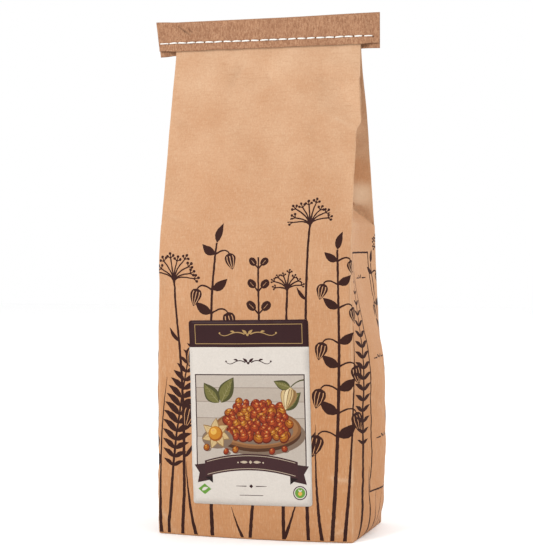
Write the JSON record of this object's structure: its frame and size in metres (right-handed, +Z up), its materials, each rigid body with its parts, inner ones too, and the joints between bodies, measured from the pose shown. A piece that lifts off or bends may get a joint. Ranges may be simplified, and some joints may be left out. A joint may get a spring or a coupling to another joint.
{
  "type": "sewn kraft paper bag",
  "caption": "Tall filled kraft paper bag with side gussets and a block bottom, its mouth closed by a folded paper tape sewn on with a chain stitch, with a front label.",
  "frame": {"origin": "on the surface that the bag stands on, at the middle of its outline seen from above", "axes": "+Z up to the sewn mouth, -Y out of the labelled front, +X to the right seen from the front"},
  "size_m": [0.197, 0.105, 0.435],
  "materials": {
    "kraft_paper": "matte",
    "dried_fruit": "satin",
    "crepe_tape": "matte",
    "thread": "matte",
    "label_paper": "satin"
  },
  "bodies": {
    "root": {"paper_bag": "kraft_paper", "dried_berries": "dried_fruit", "closure_tape": "crepe_tape", "sewing_thread": "thread", "front_label": "label_paper"}
  },
  "joints": []
}
